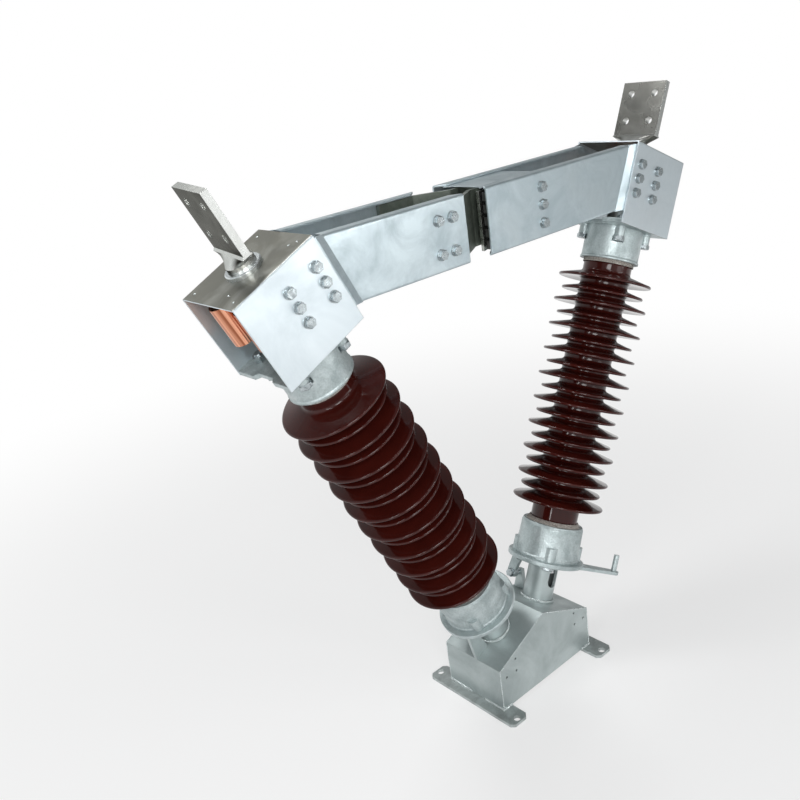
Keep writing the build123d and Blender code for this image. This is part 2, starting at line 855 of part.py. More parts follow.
for side, name in ((-1, "left"), (1, "right")):
    column = column_plane(side)
    with BuildPart() as box_plate:
        with BuildSketch(column.offset(box_level)):
            with BuildLine():
                Polyline(
                    (cover_outer - notch_depth, notch_width / 2),
                    (cover_outer - box_floor_inset, notch_width / 2 + notch_depth),
                    (cover_outer - box_floor_inset, arm_outside),
                    (-cover_inner, arm_outside),
                    (-cover_inner, mouth_notch_width / 2),
                    (mouth_notch_depth - cover_inner, mouth_notch_width / 2),
                    (mouth_notch_depth - cover_inner, -mouth_notch_width / 2),
                    (-cover_inner, -mouth_notch_width / 2),
                    (-cover_inner, -arm_outside),
                    (cover_outer - box_floor_inset, -arm_outside),
                    (cover_outer - box_floor_inset, -notch_width / 2 - notch_depth),
                    (cover_outer - notch_depth, -notch_width / 2),
                    close=True,
                )
            make_face()
            with Locations(*lug_points):
                Circle(flange_bolt_radius + hole_gap, mode=Mode.SUBTRACT)
        extrude(amount=box_floor)
        with BuildSketch(column.offset(floor_top)):
            Circle(boss_radius)
            Circle(journal_radius + running_clearance, mode=Mode.SUBTRACT)
        extrude(amount=journal_length)
    save(box_plate.part, name + "_box_floor")

    with BuildPart() as cover:
        with BuildSketch(cross_plane(column, -cover_inner)):
            with Locations((0, box_level + cover_height / 2)):
                Rectangle(cover_width, cover_height)
            with Locations((0, box_level + (cover_height - cover_sheet) / 2)):
                Rectangle(cover_width - 2 * cover_sheet, cover_height - cover_sheet, mode=Mode.SUBTRACT)
        extrude(amount=cover_inner + cover_outer)
        long_edges = cover.edges().filter_by(Axis((0, 0, 0), column.x_dir))
        fillet(long_edges.group_by(Axis(column.origin, column.z_dir))[-1], cover_bend)
        with BuildSketch(column.offset(cover_top)):
            Circle(collar_spigot)
        extrude(amount=-2 * cover_sheet, mode=Mode.SUBTRACT)
        with BuildSketch(wall_plane(column, cover_width, -1)):
            with Locations(*box_bolt_points):
                Circle(bolt_hole)
        extrude(amount=-2 * cover_width, mode=Mode.SUBTRACT)
    save(cover.part, name + "_box_cover")

    with BuildPart() as collar:
        with BuildSketch(column.offset(cover_top)):
            Circle(collar_radius)
        extrude(amount=collar_height)
        chamfer(collar.edges().group_by(Axis(column.origin, column.z_dir))[-1], collar_bevel)
        with BuildSketch(column.offset(cover_top)):
            Circle(collar_spigot - seat_clearance)
        extrude(amount=-collar_spigot_depth)
        with BuildSketch(column.offset(cover_top - collar_spigot_depth)):
            Circle(stem_radius + running_clearance)
        extrude(amount=collar_spigot_depth + collar_height, mode=Mode.SUBTRACT)
    save(collar.part, name + "_terminal_collar")

    flare_low = cover_top + flare_start
    palm_bottom = cover_top + palm_start
    ledge_low = palm_bottom - ledge_height
    palm_plane = turned(column, left_palm_turn) if side < 0 else column
    with BuildPart() as terminal:
        with BuildSketch(palm_plane.offset(boss_top + running_clearance)):
            Circle(stem_radius)
        extrude(amount=flare_low - boss_top - running_clearance)
        with BuildSketch(palm_plane.offset(flare_low)):
            Circle(stem_radius)
        with BuildSketch(palm_plane.offset(ledge_low)):
            Rectangle(ledge_thickness, palm_width)
        loft()
        with BuildSketch(palm_plane.offset(ledge_low)):
            Rectangle(ledge_thickness, palm_width)
        with BuildSketch(palm_plane.offset(palm_bottom)):
            Rectangle(palm_thickness, palm_width)
        loft()
        with BuildSketch(column.offset(floor_top + running_clearance)):
            Circle(journal_radius)
        extrude(amount=journal_length)
        with BuildSketch(cross_plane(palm_plane, -palm_thickness / 2)):
            with Locations((0, palm_bottom + palm_length / 2)):
                Rectangle(palm_width, palm_length)
            with Locations((0, palm_bottom + palm_hole_offset + palm_hole_spacing / 2)):
                with GridLocations(palm_hole_spacing, palm_hole_spacing, 2, 2):
                    Circle(palm_hole_radius, mode=Mode.SUBTRACT)
        extrude(amount=palm_thickness)
    save(terminal.part, name + "_terminal")

    ribbon_low = box_level + ribbon_place
    ribbon_side = arm_outside - arm_sheet - ribbon_thickness / 2
    clamp_bore = stem_radius + running_clearance
    clamp_outside = clamp_bore + clamp_wall
    first_fold = ribbon_side - 2 * ribbon_first_fold
    last_fold = ribbon_thickness / 2 - clamp_outside
    middle_fold = (first_fold + last_fold) / 2
    fold_radius = (first_fold - last_fold) / 4
    with BuildPart() as connector:
        with BuildSketch(column.offset(ribbon_low)):
            with BuildLine():
                Line((ribbon_start, ribbon_side), (ribbon_fold_reach, ribbon_side))
                ThreePointArc(
                    (ribbon_fold_reach, ribbon_side),
                    (ribbon_fold_reach + ribbon_first_fold, ribbon_side - ribbon_first_fold),
                    (ribbon_fold_reach, first_fold),
                )
                ThreePointArc(
                    (ribbon_fold_reach, first_fold),
                    (ribbon_fold_reach - fold_radius, middle_fold + fold_radius),
                    (ribbon_fold_reach, middle_fold),
                )
                ThreePointArc(
                    (ribbon_fold_reach, middle_fold),
                    (ribbon_fold_reach + fold_radius, middle_fold - fold_radius),
                    (ribbon_fold_reach, last_fold),
                )
                Line((ribbon_fold_reach, last_fold), (0, last_fold))
            trace(line_width=ribbon_thickness)
            Circle(clamp_outside)
            Circle(clamp_bore, mode=Mode.SUBTRACT)
        extrude(amount=ribbon_width)
    save(connector.part, name + "_flexible_connector")

    with BuildPart() as box_bolts:
        for outward in (-1, 1):
            add(bolt_set(
                wall_plane(column, cover_width / 2, outward),
                [(-outward * across, level) for across, level in box_bolt_points],
                m12_flats,
                m12_head,
                m12_radius,
                cover_sheet + arm_sheet + m12_nut + bolt_end,
                m12_washer_radius,
                m12_washer,
                cover_sheet + arm_sheet + seat_clearance,
                m12_nut,
            ))
    save(box_bolts.part, name + "_box_bolts")

# Arms: two channels facing each other, set outwards where they enter the boxes
arm_half = arm_width / 2
arm_top = arm_low + arm_height
male_low = arm_low + male_rise
guard_low = arm_top - arm_sheet - guard_gap - guard_sheet
finger_low = arm_low + finger_rise


def level_at(across, height):
    """Height along the column axis of a point at a distance across it and a height over the floor."""
    return (height + vertex_depth + across * sin(tilt)) / cos(tilt)


def arm_channel(side, face, end, web_holes):
    """One channel with its tongue; face is -1 for the front one and 1 for the rear one."""
    column = column_plane(side)
    turn = side * face
    free = face * (arm_half - arm_leg)
    web = face * (arm_half - arm_sheet / 2)
    with BuildPart() as channel:
        with BuildSketch(Plane.YZ.offset(end)):
            with BuildLine():
                FilletPolyline(
                    (free, arm_low + arm_sheet / 2),
                    (web, arm_low + arm_sheet / 2),
                    (web, arm_top - arm_sheet / 2),
                    (free, arm_top - arm_sheet / 2),
                    radius=arm_bend,
                )
            trace(line_width=arm_sheet)
        extrude(amount=side * arm_stock)
        split(bisect_by=cross_plane(column, joggle_start), keep=Keep.BOTTOM)
        with BuildSketch(Plane.XY.offset(arm_low - overlap)):
            with BuildLine():
                Polyline(
                    (end - side, free - face),
                    (end - side, face * (arm_half - arm_sheet - mitre_margin)),
                    (end + side * (arm_leg - arm_sheet), free - face),
                    close=True,
                )
            make_face()
        extrude(amount=arm_height + 2 * overlap, mode=Mode.SUBTRACT)
        for across, outside in ((joggle_start, arm_half), (joggle_end, arm_outside)):
            low = level_at(across, arm_low)
            high = level_at(across, arm_top)
            with BuildSketch(cross_plane(column, across)):
                with Locations((turn * (outside - arm_sheet / 2), (low + high) / 2)):
                    Rectangle(arm_sheet, high - low)
        loft(ruled=True)
        with BuildSketch(wall_plane(column, arm_outside, turn)):
            with BuildLine():
                Polyline(
                    (-turn * joggle_end, level_at(joggle_end, arm_low)),
                    (-turn * tongue_end, box_level + tongue_low),
                    (-turn * tongue_end, cover_top - tongue_margin),
                    (-turn * joggle_end, level_at(joggle_end, arm_top)),
                    close=True,
                )
            make_face()
            with Locations(*[(-turn * across, level) for across, level in box_bolt_points]):
                Circle(bolt_hole, mode=Mode.SUBTRACT)
        extrude(amount=-arm_sheet)
        with BuildSketch(wall_plane(Plane.XY, arm_half, face)):
            with Locations(*[(-face * across, height) for across, height in web_holes]):
                Circle(bolt_hole)
        extrude(amount=-arm_sheet, mode=Mode.SUBTRACT)
    return channel.part


male_holes = [(across, arm_low + row) for across in male_bolt_columns for row in male_bolt_rows]
holder_holes = [(holder_bolt_x, arm_low + row) for row in holder_bolt_rows]
arms = ((-1, "left", left_arm_end, male_holes), (1, "right", right_arm_end, holder_holes))
for side, name, end, holes in arms:
    for face, place in ((-1, "front"), (1, "rear")):
        save(arm_channel(side, face, end, holes), name + "_arm_" + place + "_channel")

# Male contact: a bent plate, bolted between the left channels, narrowed behind a round nose
male_side = arm_half - arm_sheet - seat_clearance - male_plate / 2
nose = male_half_width - male_plate / 2
nose_start = nose * cos(radians(male_nose_turn))
nose_side = nose * sin(radians(male_nose_turn))
with BuildPart() as male_contact:
    with BuildSketch(Plane.XY.offset(male_low)):
        with BuildLine():
            Polyline(
                (male_root, -male_side),
                (left_arm_end - male_lead, -male_side),
                (male_neck_start, -male_neck_half),
                (nose_start, -nose_side),
            )
            ThreePointArc((nose_start, -nose_side), (nose, 0), (nose_start, nose_side))
            Polyline(
                (nose_start, nose_side),
                (male_neck_start, male_neck_half),
                (left_arm_end - male_lead, male_side),
                (male_root, male_side),
            )
        trace(line_width=male_plate)
    extrude(amount=guard_low - male_headroom - male_low)
    with BuildSketch(wall_plane(Plane.XY, arm_half, -1)):
        with Locations(*male_holes):
            Circle(bolt_hole)
    extrude(amount=-arm_width, mode=Mode.SUBTRACT)
save(male_contact.part, "male_contact")

with BuildPart() as male_bolts:
    for face in (-1, 1):
        add(bolt_set(
            wall_plane(Plane.XY, arm_half, face),
            [(-face * across, height) for across, height in male_holes],
            m12_flats,
            m12_head,
            m12_radius,
            arm_sheet + male_plate + m12_nut + bolt_end,
            m12_washer_radius,
            m12_washer,
            arm_sheet + male_plate + 2 * seat_clearance,
            m12_nut,
        ))
save(male_bolts.part, "male_contact_bolts")

# Fingers: two rows that close on the nose of the male contact, flared at their tips
finger_inside = male_half_width + running_clearance
bump_side = finger_inside + finger_bump_height
finger_back = finger_inside + finger_relief + finger_thickness
finger_stack = guard_low - finger_headroom - finger_low
finger_pitch = (finger_stack + finger_gap) / finger_count
finger_levels = [finger_low + index * finger_pitch for index in range(finger_count)]
for face, place in ((-1, "front"), (1, "rear")):
    with BuildPart() as fingers:
        for level in finger_levels:
            with BuildSketch(Plane.XY.offset(level)):
                with BuildLine():
                    Polyline(
                        (-finger_bump, face * bump_side),
                        (finger_tip, face * (finger_inside + finger_flare)),
                        (finger_tip, face * (finger_inside + finger_flare + finger_tip_thickness)),
                        (finger_tip + finger_slope, face * finger_back),
                        (holder_back, face * finger_back),
                        (holder_back, face * (finger_inside + finger_relief)),
                        (finger_relief_start, face * (finger_inside + finger_relief)),
                        (finger_bump, face * bump_side),
                    )
                    ThreePointArc(
                        (finger_bump, face * bump_side),
                        (0, face * finger_inside),
                        (-finger_bump, face * bump_side),
                    )
                make_face()
            extrude(amount=finger_pitch - finger_gap)
    save(fingers.part, place + "_contact_fingers")

holder_low = finger_low - holder_margin
with BuildPart() as finger_holder:
    with BuildSketch(Plane.XY.offset(holder_low)):
        for face in (-1, 1):
            leg_thickness = arm_half - arm_sheet - seat_clearance - finger_back
            with Locations(((holder_front + holder_back) / 2, face * (finger_back + leg_thickness / 2))):
                Rectangle(holder_back - holder_front, leg_thickness)
        with Locations((holder_back + holder_wall / 2, 0)):
            Rectangle(holder_wall, arm_width - 2 * arm_sheet - 2 * seat_clearance)
    extrude(amount=guard_low - holder_low)
    with BuildSketch(wall_plane(Plane.XY, arm_half, -1)):
        with Locations(*holder_holes):
            Circle(m12_radius + seat_clearance)
    extrude(amount=-arm_width, mode=Mode.SUBTRACT)
save(finger_holder.part, "finger_holder")

spring_anchor = finger_back + spring_lift
with BuildPart() as springs:
    for level in finger_levels:
        for face in (-1, 1):
            with BuildSketch(Plane.XY.offset(level + spring_margin)):
                with BuildLine():
                    Line((holder_front, face * spring_anchor), (spring_straight, face * spring_anchor))
                    ThreePointArc(
                        (spring_straight, face * spring_anchor),
                        (spring_bow, face * (finger_back + spring_bow_lift)),
                        (spring_touch, face * (finger_back + spring_touch_lift)),
                    )
                    Polyline(
                        (spring_touch, face * (finger_back + spring_touch_lift)),
                        (spring_tab, face * (finger_back + spring_tab_lift)),
                        (spring_tab, face * (arm_half - arm_sheet - spring_tab_gap)),
                    )
                trace(line_width=spring_strip)
            extrude(amount=finger_pitch - finger_gap - 2 * spring_margin)
save(springs.part, "finger_springs")

guard_half = arm_half - arm_leg - guard_margin
guard_tip = right_arm_end + guard_front
guard_web = right_arm_end + guard_notch
with BuildPart() as finger_guard:
    with BuildSketch(Plane.XY.offset(guard_low)):
        with BuildLine():
            Polyline(
                (guard_tip, -guard_half),
                (holder_back, -guard_half),
                (holder_back, guard_half),
                (guard_tip, guard_half),
                (guard_web, guard_half - guard_prong),
                (guard_web, guard_prong - guard_half),
                close=True,
            )
        make_face()
    extrude(amount=guard_sheet)
save(finger_guard.part, "finger_guard")

with BuildPart() as holder_bolts:
    for face in (-1, 1):
        add(bolt_set(
            wall_plane(Plane.XY, arm_half, face),
            [(-face * across, height) for across, height in holder_holes],
            m12_flats,
            m12_head,
            m12_radius,
            arm_half - finger_back - holder_bolt_margin,
            m12_washer_radius,
            m12_washer,
        ))
save(holder_bolts.part, "right_arm_bolts")
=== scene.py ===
import bpy
import json
from math import atan2, cos, pi, radians, sin
from mathutils import Matrix, Vector


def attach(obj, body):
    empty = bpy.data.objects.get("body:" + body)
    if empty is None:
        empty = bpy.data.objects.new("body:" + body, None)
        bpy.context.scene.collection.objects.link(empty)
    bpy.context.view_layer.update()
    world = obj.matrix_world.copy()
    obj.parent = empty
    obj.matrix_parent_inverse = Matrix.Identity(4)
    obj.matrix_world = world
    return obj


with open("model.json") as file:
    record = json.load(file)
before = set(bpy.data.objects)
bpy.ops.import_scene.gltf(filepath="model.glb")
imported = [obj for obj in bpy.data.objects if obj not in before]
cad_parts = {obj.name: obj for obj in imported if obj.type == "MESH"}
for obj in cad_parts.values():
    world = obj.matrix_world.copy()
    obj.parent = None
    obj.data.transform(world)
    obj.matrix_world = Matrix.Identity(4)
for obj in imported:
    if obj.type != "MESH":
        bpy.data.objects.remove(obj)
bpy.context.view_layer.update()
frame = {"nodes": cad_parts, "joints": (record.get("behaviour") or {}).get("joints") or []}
nodes = frame["nodes"]
bpy.ops.object.select_all(action="DESELECT")

# Base housing. Sheet steel, folded to a gable, welded along its corners and sprayed with
# silver-grey paint. It stands on two foot bars and carries both leaning columns.
paint_colour = (0.50, 0.56, 0.56, 1)
paint_shade = (0.36, 0.41, 0.41, 1)


def socket(group, name, way, kind, value=None):
    """Adds an input or an output to a node group."""
    made = group.interface.new_socket(name=name, in_out=way, socket_type=kind)
    if value is not None:
        made.default_value = value
    return made


def cloud_group():
    """Soft patches, specks and fine grain in two shades, for zinc, paint and castings."""
    group = bpy.data.node_groups.new("cloudy_finish", "ShaderNodeTree")
    socket(group, "Light", "INPUT", "NodeSocketColor")
    socket(group, "Shade", "INPUT", "NodeSocketColor")
    socket(group, "Patch Scale", "INPUT", "NodeSocketFloat", 8.0)
    socket(group, "Grain Scale", "INPUT", "NodeSocketFloat", 400.0)
    socket(group, "Grain Amount", "INPUT", "NodeSocketFloat", 0.2)
    socket(group, "Grain Turn", "INPUT", "NodeSocketVector", (0, 0, 0))
    socket(group, "Grain Stretch", "INPUT", "NodeSocketVector", (1, 1, 1))
    socket(group, "Smooth", "INPUT", "NodeSocketFloat", 0.35)
    socket(group, "Rough", "INPUT", "NodeSocketFloat", 0.55)
    socket(group, "Color", "OUTPUT", "NodeSocketColor")
    socket(group, "Roughness", "OUTPUT", "NodeSocketFloat")
    socket(group, "Height", "OUTPUT", "NodeSocketFloat")
    put, join = group.nodes.new, group.links.new
    inside, outside = put("NodeGroupInput"), put("NodeGroupOutput")
    place = put("ShaderNodeTexCoord")
    lay = put("ShaderNodeMapping")
    lay.vector_type = "TEXTURE"
    patch = put("ShaderNodeTexNoise")
    patch.inputs["Detail"].default_value = 5
    patch.inputs["Roughness"].default_value = 0.62
    patch.inputs["Distortion"].default_value = 0.6
    grain = put("ShaderNodeTexNoise")
    grain.inputs["Detail"].default_value = 3
    spread = put("ShaderNodeMapRange")
    spread.inputs["From Min"].default_value = 0.36
    spread.inputs["From Max"].default_value = 0.64
    tint = put("ShaderNodeMix")
    tint.data_type = "RGBA"
    speck = put("ShaderNodeMix")
    speck.data_type = "RGBA"
    speck.blend_type = "OVERLAY"
    gloss = put("ShaderNodeMix")
    gloss.data_type = "FLOAT"
    join(place.outputs["Object"], patch.inputs["Vector"])
    join(place.outputs["Object"], lay.inputs["Vector"])
    join(inside.outputs["Grain Turn"], lay.inputs["Rotation"])
    join(inside.outputs["Grain Stretch"], lay.inputs["Scale"])
    join(lay.outputs["Vector"], grain.inputs["Vector"])
    join(inside.outputs["Patch Scale"], patch.inputs["Scale"])
    join(inside.outputs["Grain Scale"], grain.inputs["Scale"])
    join(patch.outputs["Fac"], spread.inputs["Value"])
    join(spread.outputs["Result"], tint.inputs["Factor"])
    join(inside.outputs["Shade"], tint.inputs["A"])
    join(inside.outputs["Light"], tint.inputs["B"])
    join(inside.outputs["Grain Amount"], speck.inputs["Factor"])
    join(tint.outputs["Result"], speck.inputs["A"])
    join(grain.outputs["Fac"], speck.inputs["B"])
    join(spread.outputs["Result"], gloss.inputs["Factor"])
    join(inside.outputs["Rough"], gloss.inputs["A"])
    join(inside.outputs["Smooth"], gloss.inputs["B"])
    join(speck.outputs["Result"], outside.inputs["Color"])
    join(gloss.outputs["Result"], outside.inputs["Roughness"])
    join(grain.outputs["Fac"], outside.inputs["Height"])
    return group


cloudy = cloud_group()


def cloudy_metal(
    name, light, shade, patch_scale, grain_scale, grain_amount, smooth, rough, metallic,
    relief=0.02, depth=0.0003, corner=0.0008, turn=(0, 0, 0), stretch=(1, 1, 1),
):
    """A metal or painted finish with cloudy patches, placed on an object's own coordinates.

    Depth is the grain's height and corner the radius that sharp edges seem to have, in metres.
    """
    made = bpy.data.materials.new(name)
    made.use_nodes = True
    tree = made.node_tree
    shader = tree.nodes["Principled BSDF"]
    finish = tree.nodes.new("ShaderNodeGroup")
    finish.name = "finish"
    finish.node_tree = cloudy
    for label, value in (
        ("Light", light),
        ("Shade", shade),
        ("Patch Scale", patch_scale),
        ("Grain Scale", grain_scale),
        ("Grain Amount", grain_amount),
        ("Grain Turn", turn),
        ("Grain Stretch", stretch),
        ("Smooth", smooth),
        ("Rough", rough),
    ):
        finish.inputs[label].default_value = value
    bump = tree.nodes.new("ShaderNodeBump")
    bump.inputs["Strength"].default_value = relief
    bump.inputs["Distance"].default_value = depth
    tree.links.new(finish.outputs["Color"], shader.inputs["Base Color"])
    tree.links.new(finish.outputs["Roughness"], shader.inputs["Roughness"])
    tree.links.new(finish.outputs["Height"], bump.inputs["Height"])
    tree.links.new(bump.outputs["Normal"], shader.inputs["Normal"])
    if corner:
        round_corner = tree.nodes.new("ShaderNodeBevel")
        round_corner.samples = 4
        round_corner.inputs["Radius"].default_value = corner
        tree.links.new(round_corner.outputs["Normal"], bump.inputs["Normal"])
    shader.inputs["Metallic"].default_value = metallic
    return made


def finish_nodes(material, *names):
    """Gives the named solids of the frame one material in place of their plain ones."""
    for name in names:
        mesh = nodes[name].data
        mesh.materials.clear()
        mesh.materials.append(material)


silver_paint = cloudy_metal(
    "silver_paint", light=paint_colour, shade=paint_shade,
    patch_scale=7, grain_scale=900, grain_amount=0.14, smooth=0.30, rough=0.46, metallic=0.55,
    relief=0.25, depth=0.0004, corner=0.0015,
)
finish_nodes(silver_paint, "base_housing")

# Welds of the base. Rippled beads along the housing's corners and foot bars and around the
# tubes, laid by hand and painted over; their finish is lighter than the paint, a painted highlight.
right_turn = next(joint for joint in frame["joints"] if joint["name"] == "right_column_turn")
vertex = Vector(right_turn["pos_m"])
tilt = atan2(right_turn["axis"][0], right_turn["axis"][2])
housing = nodes["base_housing"]
housing_corners = [housing.matrix_world @ Vector(corner) for corner in housing.bound_box]
half_length = max(corner.x for corner in housing_corners)
half_width = max(corner.y for corner in housing_corners)
foot_top = min(corner.z for corner in housing_corners)
ridge = max(corner.z for corner in housing_corners)
shoulder = ridge - half_length * sin(tilt) / cos(tilt)
foot_lap = 0.026
tube_radius = 0.0405
tube_level = (ridge - vertex.z) * cos(tilt)
tube_weld_rise = 0.0035
foot_weld_rise = 0.001
foot_weld_gap = (-0.03, 0.02)
# Lighter than the housing paint: a painted highlight on the beads and tacks.
weld_highlight_skin = cloudy_metal(
    "weld_highlight_skin", light=(0.66, 0.71, 0.71, 1), shade=(0.42, 0.46, 0.46, 1),
    patch_scale=60, grain_scale=900, grain_amount=0.3, smooth=0.24, rough=0.42, metallic=0.75,
    relief=0.4, depth=0.0005, corner=0,
)


def bead_run(start, end, radius, step):
    """A straight row of overlapping beads between two points."""
    start, end = Vector(start), Vector(end)
    count = max(2, round((end - start).length / step) + 1)
    bpy.ops.mesh.primitive_uv_sphere_add(segments=8, ring_count=6, radius=radius, location=(0, 0, 0))
    bead = bpy.context.active_object
    bpy.ops.object.mode_set(mode="EDIT")
    bpy.ops.mesh.select_all(action="SELECT")
    bpy.ops.transform.translate(value=start)
    bpy.ops.object.mode_set(mode="OBJECT")
    row = bead.modifiers.new("row", "ARRAY")
    row.use_relative_offset = False
    row.use_constant_offset = True
    row.constant_offset_displace = (end - start) / (count - 1)
    row.count = count
    bpy.ops.object.modifier_apply(modifier=row.name)
    return bead


def bead_ring(axis, centre, arm, radius, steps):
    """A ring of overlapping beads around an axis."""
    bpy.ops.mesh.primitive_uv_sphere_add(segments=8, ring_count=6, radius=radius, location=(0, 0, 0))
    bead = bpy.context.active_object
    bpy.ops.object.mode_set(mode="EDIT")
    bpy.ops.mesh.select_all(action="SELECT")
    bpy.ops.transform.translate(value=centre + arm)
    turn = 2 * pi * (steps - 1) / steps
    bpy.ops.mesh.spin(steps=steps - 1, dupli=True, angle=turn, center=centre, axis=axis)
    bpy.ops.object.mode_set(mode="OBJECT")
    return bead


def laid_weld(name, beads, body, wander):
    """Joins beads to one weld, with the small unevenness of hand work."""
    bpy.ops.object.select_all(action="DESELECT")
    for bead in beads:
        bead.select_set(True)
    bpy.context.view_layer.objects.active = beads[0]
    if len(beads) > 1:
        bpy.ops.object.join()
    weld = bpy.context.active_object
    weld.name = name
    bpy.ops.object.mode_set(mode="EDIT")
    bpy.ops.mesh.select_all(action="SELECT")
    bpy.ops.transform.vertex_random(offset=wander, uniform=0.3, seed=len(beads))
    bpy.ops.mesh.normals_make_consistent(inside=False)
    bpy.ops.object.mode_set(mode="OBJECT")
    bpy.ops.object.shade_smooth()
    weld.data.materials.append(weld_highlight_skin)
    bpy.ops.object.select_all(action="DESELECT")
    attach(weld, body)


seams = []
for face in (-1, 1):
    wall = face * half_width
    for begin, finish in (
        ((-half_length, foot_top), (-half_length, shoulder)),
        ((-half_length, shoulder), (0, ridge)),
        ((0, ridge), (half_length, shoulder)),
        ((half_length, foot_top), (half_length, shoulder)),
    ):
        start, end = (begin[0], wall, begin[1]), (finish[0], wall, finish[1])
        seams.append(bead_run(start, end, radius=0.0013, step=0.0019))
laid_weld("housing_seams", seams, "base", wander=0.0001)
foot_welds = []
for side in (-1, 1):
    for begin, finish in (
        ((side * half_length, -half_width), (side * half_length, foot_weld_gap[0])),
        ((side * half_length, foot_weld_gap[1]), (side * half_length, half_width)),
        ((side * (half_length - foot_lap), -half_width), (side * half_length, -half_width)),
        ((side * (half_length - foot_lap), half_width), (side * half_length, half_width)),
    ):
        level = foot_top + foot_weld_rise
        foot_welds.append(bead_run((*begin, level), (*finish, level), radius=0.0038, step=0.0042))
laid_weld("foot_welds", foot_welds, "base", wander=0.0007)
tube_welds = []
for lean in (-1, 1):
    axis = Vector((lean * sin(tilt), 0, cos(tilt)))
    centre = vertex + axis * (tube_level + tube_weld_rise)
    arm = Vector((0, tube_radius, 0))
    tube_welds.append(bead_ring(axis, centre, arm, radius=0.003, steps=64))
laid_weld("tube_welds", tube_welds, "base", wander=0.0003)

# Painted shade inside the housing. A thin black sheet just inside the front wall, which stands for
# the shade in the hollow housing; it is what shows through the wall's small screw holes.
housing_wall = 0.005
shade_sheet_place = half_width - housing_wall - 0.0008
shade_sheet_length = 2 * (half_length - 0.008)
shade_sheet_height = 0.102
shade_sheet_middle = 0.064
bpy.ops.mesh.primitive_grid_add(x_subdivisions=24, y_subdivisions=12, size=1, location=(0, 0, 0))
hole_shade_sheet = bpy.context.active_object
hole_shade_sheet.name = "hole_shade_sheet"
bpy.ops.object.mode_set(mode="EDIT")
bpy.ops.mesh.select_all(action="SELECT")
bpy.ops.transform.resize(value=(shade_sheet_length, shade_sheet_height, 1))
bpy.ops.transform.rotate(value=-pi / 2, orient_axis="X", center_override=(0, 0, 0))
bpy.ops.transform.translate(value=(0, -shade_sheet_place, shade_sheet_middle))
bpy.ops.transform.vertex_random(offset=0.0002, seed=4)
bpy.ops.object.mode_set(mode="OBJECT")
skin = hole_shade_sheet.modifiers.new("skin", "SOLIDIFY")
skin.thickness = 0.0006
skin.offset = 0
bpy.ops.object.modifier_apply(modifier=skin.name)
bpy.ops.object.shade_smooth_by_angle()
# Painted shade: a near-black finish for the sheet.
hole_shade_black = cloudy_metal(
    "hole_shade_black", light=(0.012, 0.012, 0.013, 1), shade=(0.006, 0.006, 0.006, 1),
    patch_scale=40, grain_scale=600, grain_amount=0.2, smooth=0.35, rough=0.6, metallic=0.0,
    relief=0.4, depth=0.0005, corner=0,
)
hole_shade_sheet.data.materials.append(hole_shade_black)
bpy.ops.object.select_all(action="DESELECT")
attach(hole_shade_sheet, "base")

# Foot bars, gusset, stop block and bearing tubes. Flat bar and thick tube, welded to the
# housing and painted with it; the bars' corners are cut and each has a bolt hole at its end.
bar_paint = cloudy_metal(
    "bar_paint", light=(0.50, 0.545, 0.54, 1), shade=(0.33, 0.36, 0.355, 1),
    patch_scale=26, grain_scale=700, grain_amount=0.3, smooth=0.32, rough=0.5, metallic=0.6,
    relief=0.5, depth=0.0006, corner=0.0015,
)
finish_nodes(bar_paint, "left_foot_bar", "right_foot_bar")
for side in ("left", "right"):
    finish_nodes(silver_paint, side + "_bearing_housing", side + "_stop_block")

# Bearings. Ground steel rings with a row of balls between them, two in each tube, seen only
# through the slot of the right tube.
ground_steel = cloudy_metal(
    "ground_steel", light=(0.62, 0.62, 0.64, 1), shade=(0.5, 0.5, 0.52, 1),
    patch_scale=30, grain_scale=900, grain_amount=0.1, smooth=0.12, rough=0.2, metallic=1.0,
)
for side in ("left", "right"):
    finish_nodes(ground_steel, side + "_outer_races", side + "_inner_races", side + "_bearing_balls")

# Shafts and bevel gears. Turned steel shafts; cast gears with cut teeth, lightly greased, that
# turn the two columns together inside the housing.
turned_steel = cloudy_metal(
    "turned_steel", light=(0.46, 0.46, 0.47, 1), shade=(0.36, 0.36, 0.37, 1),
    patch_scale=18, grain_scale=1200, grain_amount=0.15, smooth=0.25, rough=0.4, metallic=1.0,
)
greased_iron = cloudy_metal(
    "greased_iron", light=(0.2, 0.2, 0.2, 1), shade=(0.1, 0.095, 0.085, 1),
    patch_scale=40, grain_scale=500, grain_amount=0.3, smooth=0.22, rough=0.5, metallic=0.8,
    relief=0.3,
)
for side in ("left", "right"):
    finish_nodes(turned_steel, side + "_shaft")
    finish_nodes(greased_iron, side + "_bevel_gear")

# Turntables, levers and cast fittings. Steel plate and sand-cast iron, dipped in hot zinc, which
# leaves a cloudy grey skin; it is grainier on the castings, where the mould's sand shows.
zinc_light = (0.52, 0.585, 0.59, 1)
zinc_shade = (0.34, 0.395, 0.40, 1)
zinc_plate = cloudy_metal(
    "zinc_plate", light=zinc_light, shade=zinc_shade,
    patch_scale=14, grain_scale=500, grain_amount=0.22, smooth=0.32, rough=0.5, metallic=0.6,
    relief=0.35, depth=0.0006, corner=0.0015,
)
zinc_cast = cloudy_metal(
    "zinc_cast", light=zinc_light, shade=zinc_shade,
    patch_scale=20, grain_scale=260, grain_amount=0.3, smooth=0.32, rough=0.54, metallic=0.6,
    relief=0.7, depth=0.0012, corner=0.002,
)
finish_nodes(zinc_plate, "right_stop_lever", "right_drive_lever")
for side in ("left", "right"):
    finish_nodes(zinc_plate, side + "_turntable")
    finish_nodes(zinc_cast, side + "_bottom_flange", side + "_top_flange")

